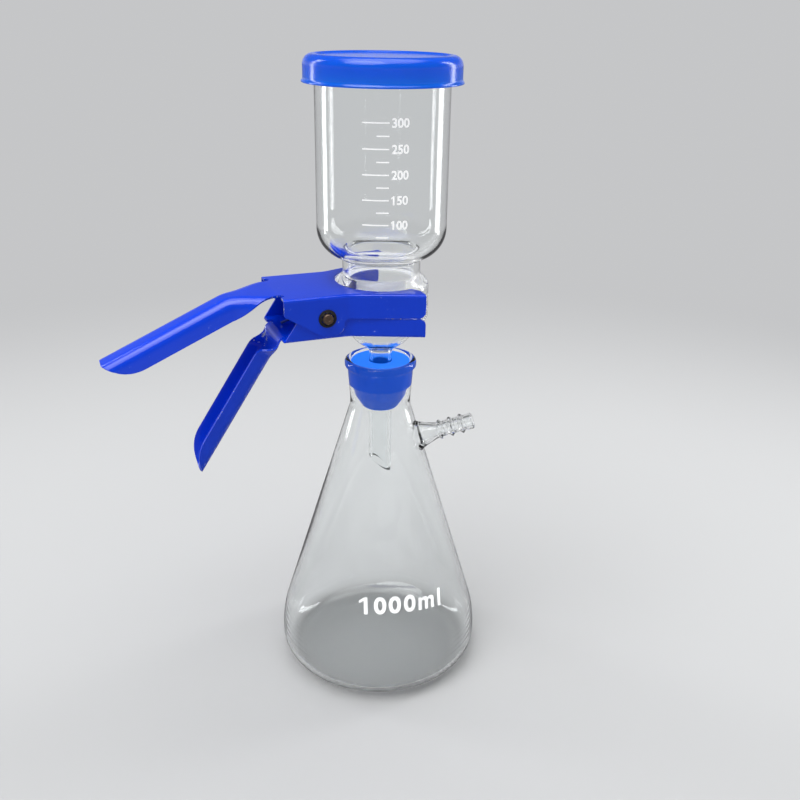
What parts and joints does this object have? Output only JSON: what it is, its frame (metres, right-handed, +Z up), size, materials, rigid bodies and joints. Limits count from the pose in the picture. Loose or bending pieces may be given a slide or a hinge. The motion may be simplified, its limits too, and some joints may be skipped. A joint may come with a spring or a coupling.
{
  "type": "vacuum filtration unit",
  "caption": "Conical glass flask with barbed side arm, bored stopper, long-stemmed glass filter base, graduated funnel cup with a push-on lid, held together by a sprung two-handled clamp.",
  "frame": {"origin": "centre of the flask's foot, on the flask's axis", "axes": "+Z up along the axis of the flask and the cup; the clamp's handles point to -X and its pivot pin runs along Y"},
  "size_m": [0.2283, 0.13, 0.3844],
  "materials": {
    "glass": "clear",
    "silicone": "satin",
    "frit": "matte",
    "lid_plastic": "glossy",
    "blue_paint": "glossy",
    "pin_steel": "bronzed",
    "black_steel": "satin",
    "spring_steel": "satin"
  },
  "bodies": {
    "stand": {"flask": "glass", "stopper": "silicone", "filter_base": "glass", "sintered_disc": "frit", "funnel_cup": "glass", "clamp_upper_jaw": "blue_paint", "pivot_pin": "pin_steel", "retaining_ring": "black_steel", "torsion_spring": "spring_steel"},
    "lower_jaw": {"clamp_lower_jaw": "blue_paint"},
    "lid": {"lid": "lid_plastic"}
  },
  "joints": [
    {"name": "clamp_pivot", "type": "hinge", "parent": "stand", "child": "lower_jaw", "pos_m": [-0.0414, 0, 0.2473], "axis": [0, 1, 0], "range_deg": [0, 25], "stiffness_Nm_per_rad": 0.5, "springref_deg": -45.84, "deforming": ["torsion_spring"]},
    {"name": "lid_lift", "type": "slide", "parent": "stand", "child": "lid", "axis": [0, 0, 1], "range_m": [0, 0.03]}
  ]
}
